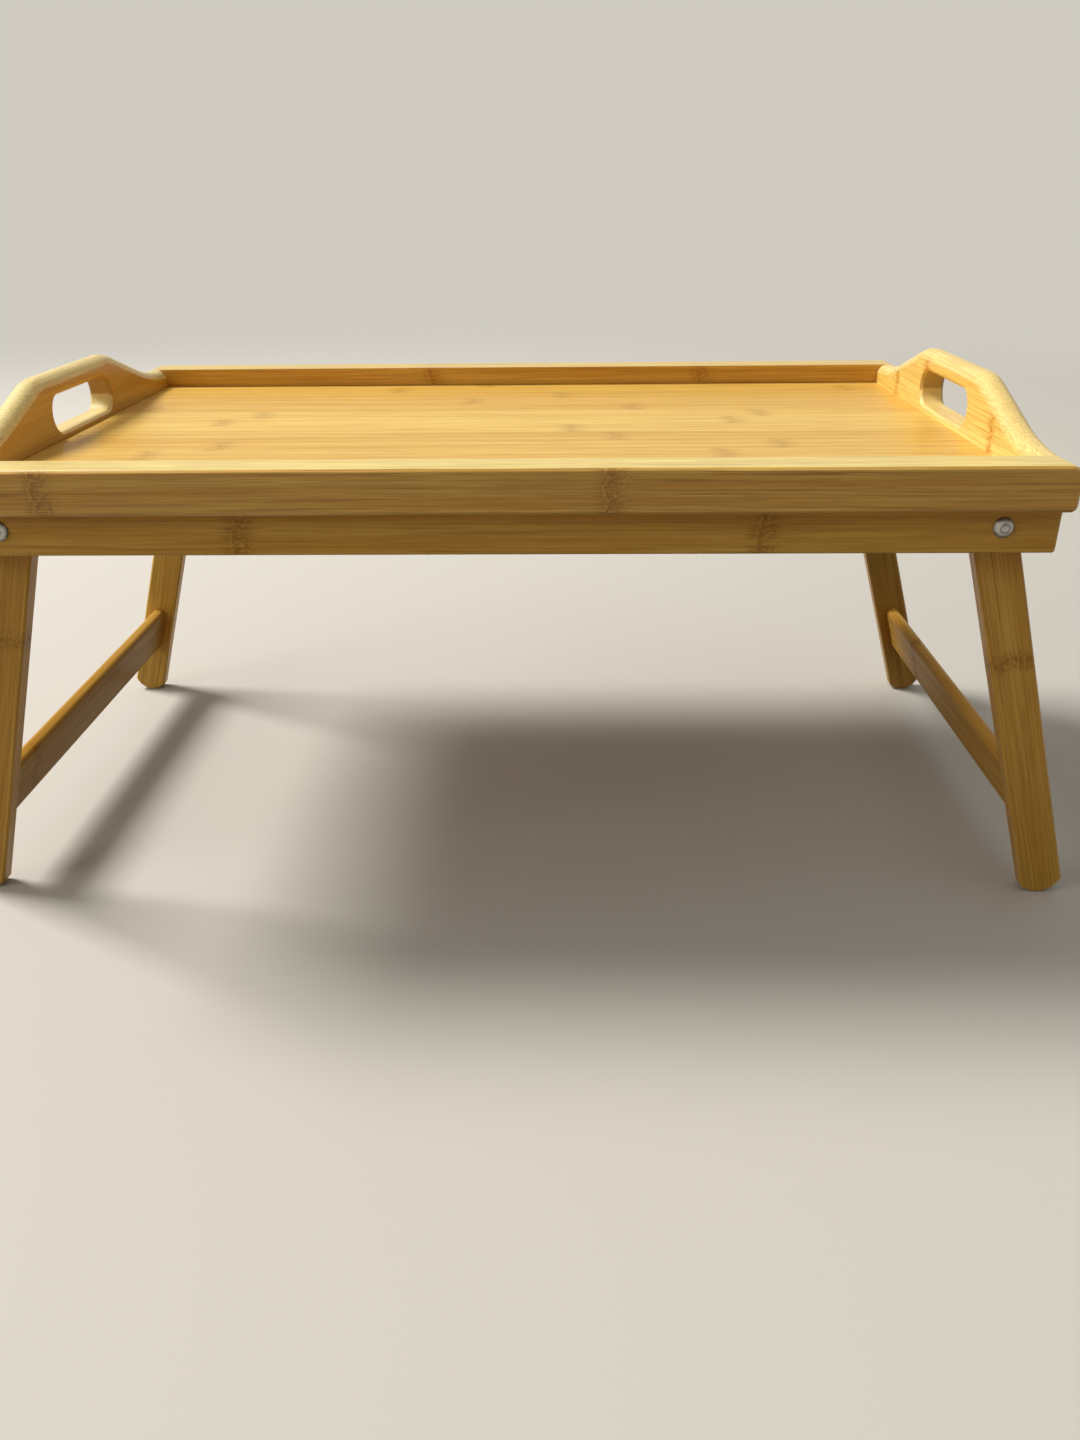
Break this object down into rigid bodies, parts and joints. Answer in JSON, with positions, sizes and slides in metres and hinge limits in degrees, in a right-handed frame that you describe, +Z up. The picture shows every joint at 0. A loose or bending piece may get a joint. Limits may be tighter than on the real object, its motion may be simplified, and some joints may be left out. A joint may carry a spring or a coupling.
{
  "type": "bed tray table",
  "caption": "Shallow rectangular bamboo tray with raised hand-hole ends on folding splayed leg frames, used over the lap in bed or as a low table.",
  "frame": {"origin": "on the floor under the middle of the tray, legs folded out", "axes": "+X along the tray's length to the right handle, +Y across the tray to the back, +Z up"},
  "size_m": [0.5872, 0.3106, 0.2537],
  "materials": {
    "panel_bamboo": "satin lacquered laminated bamboo, narrow strips",
    "rail_bamboo": "satin lacquered solid bamboo",
    "handle_bamboo": "satin lacquered laminated bamboo, bullnosed",
    "leg_bamboo": "satin lacquered solid bamboo",
    "tenon_wood": "raw bamboo",
    "pivot_steel": "satin nickel plate",
    "washer_steel": "zinc plate"
  },
  "bodies": {
    "tray": {"front_upper_rail": "rail_bamboo", "back_upper_rail": "rail_bamboo", "front_lower_rail": "rail_bamboo", "back_lower_rail": "rail_bamboo", "left_handle_board": "handle_bamboo", "right_handle_board": "handle_bamboo", "tray_panel": "panel_bamboo", "front_corner_tenons": "tenon_wood", "back_corner_tenons": "tenon_wood", "front_pivot_bolts": "pivot_steel", "back_pivot_bolts": "pivot_steel", "front_spacer_washers": "washer_steel", "back_spacer_washers": "washer_steel", "front_nut_washers": "washer_steel", "back_nut_washers": "washer_steel", "front_pivot_nuts": "pivot_steel", "back_pivot_nuts": "pivot_steel"},
    "left_leg_frame": {"front_left_leg": "leg_bamboo", "back_left_leg": "leg_bamboo", "left_crossbar": "leg_bamboo"},
    "right_leg_frame": {"front_right_leg": "leg_bamboo", "back_right_leg": "leg_bamboo", "right_crossbar": "leg_bamboo"}
  },
  "joints": [
    {"name": "left_leg_fold", "type": "hinge", "parent": "tray", "child": "left_leg_frame", "pos_m": [-0.2243, 0, 0.20289], "axis": [0, -1, 0], "range_deg": [0, 106.8]},
    {"name": "right_leg_fold", "type": "hinge", "parent": "tray", "child": "right_leg_frame", "pos_m": [0.2243, 0, 0.20289], "axis": [0, 1, 0], "range_deg": [0, 106.8]}
  ]
}
